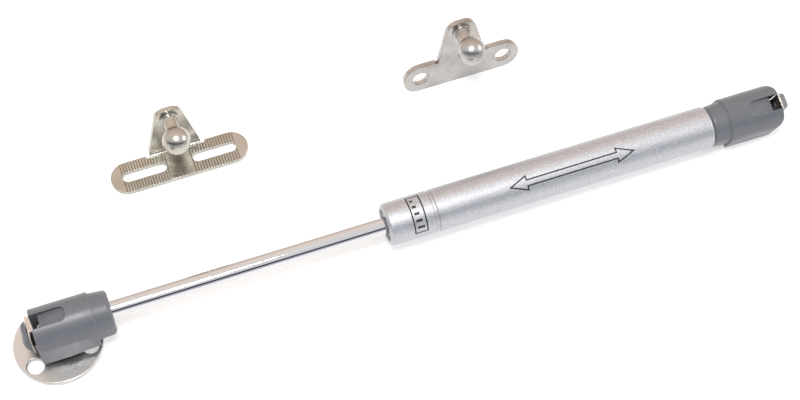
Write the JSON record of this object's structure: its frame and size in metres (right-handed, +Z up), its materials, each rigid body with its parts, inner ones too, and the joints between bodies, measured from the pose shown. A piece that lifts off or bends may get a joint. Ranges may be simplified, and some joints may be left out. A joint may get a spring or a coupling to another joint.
{
  "type": "gas strut stay",
  "caption": "Gas strut stay for a cabinet flap: chromed rod, silver tube, push-fit plastic ball sockets, and the round, slotted and flat ball-stud brackets it fastens with.",
  "frame": {"origin": "bottom centre of the bounding box of the strut and its brackets, on the surface they lie on", "axes": "+X from the rod end to the tube end, +Y from the strut towards the two loose brackets, +Z up, out of the surface"},
  "size_m": [0.2814, 0.0778, 0.0315],
  "materials": {
    "silver_paint": "satin metallic silver paint with fine flake",
    "rod_chrome": "polished hard chrome",
    "moulded_grey": "satin moulded dark grey plastic",
    "nickel": "bright nickel plate, finely tumbled",
    "spring_steel": "bright rolled spring steel",
    "turned_steel": "machined steel, oiled",
    "guide_plastic": "natural acetal",
    "seal_rubber": "black nitrile rubber",
    "ring_ptfe": "bronze-filled PTFE"
  },
  "bodies": {
    "round_plate": {"round_plate": "nickel"},
    "ball_stud": {"rod_end_ball_stud": "nickel"},
    "rod": {"piston_rod": "rod_chrome", "rod_end_socket": "moulded_grey"},
    "rod_clip": {"rod_end_clip": "spring_steel", "rod_end_clip_pad": "moulded_grey"},
    "piston": {"piston": "turned_steel", "piston_ring": "ring_ptfe", "piston_front_washer": "turned_steel", "piston_rear_washer": "turned_steel", "piston_lock_ring": "turned_steel"},
    "cylinder": {"cylinder_tube": "silver_paint", "end_plug": "turned_steel", "end_plug_ring": "seal_rubber", "rod_guide": "guide_plastic", "guide_static_ring": "seal_rubber", "rod_lip_seal": "seal_rubber", "seal_washer": "turned_steel", "seal_spacer": "guide_plastic", "tube_end_socket": "moulded_grey"},
    "tube_clip": {"tube_end_clip": "spring_steel", "tube_end_clip_pad": "moulded_grey"},
    "slotted_bracket": {"slotted_bracket_plate": "nickel", "slotted_bracket_ball_stud": "nickel"},
    "two_hole_bracket": {"two_hole_bracket_plate": "nickel", "two_hole_bracket_ball_stud": "nickel"}
  },
  "joints": [
    {"name": "plate_swivel", "type": "hinge", "parent": "round_plate", "child": "ball_stud", "pos_m": [-0.12567, -0.0239, 0.01257], "axis": [0, 0, 1], "continuous": true},
    {"name": "ball_tilt", "type": "hinge", "parent": "ball_stud", "child": "rod", "pos_m": [-0.12567, -0.0239, 0.01257], "axis": [0, 1, 0], "range_deg": [-12, 12]},
    {"name": "rod_spin", "type": "hinge", "parent": "rod", "child": "piston", "pos_m": [0.00843, -0.0239, 0.01147], "axis": [1, 0, -0.0081], "continuous": true},
    {"name": "stroke", "type": "slide", "parent": "piston", "child": "cylinder", "axis": [-1, 0, 0.0081], "range_m": [0, 0.088], "stiffness_N_per_m": 511, "springref_m": -0.2935},
    {"name": "rod_clip_pull", "type": "slide", "parent": "rod", "child": "rod_clip", "axis": [-1, 0, 0.0081], "range_m": [0, 0.0015], "stiffness_N_per_m": 1500, "springref_m": -0.001},
    {"name": "tube_clip_pull", "type": "slide", "parent": "cylinder", "child": "tube_clip", "axis": [1, 0, -0.0081], "range_m": [0, 0.0015], "stiffness_N_per_m": 1500, "springref_m": -0.001},
    {"name": "slotted_bracket_lift", "type": "slide", "parent": "round_plate", "child": "slotted_bracket", "axis": [0, 0, 1], "range_m": [0, 0.05]},
    {"name": "two_hole_bracket_lift", "type": "slide", "parent": "round_plate", "child": "two_hole_bracket", "axis": [0, 0, 1], "range_m": [0, 0.05]}
  ]
}
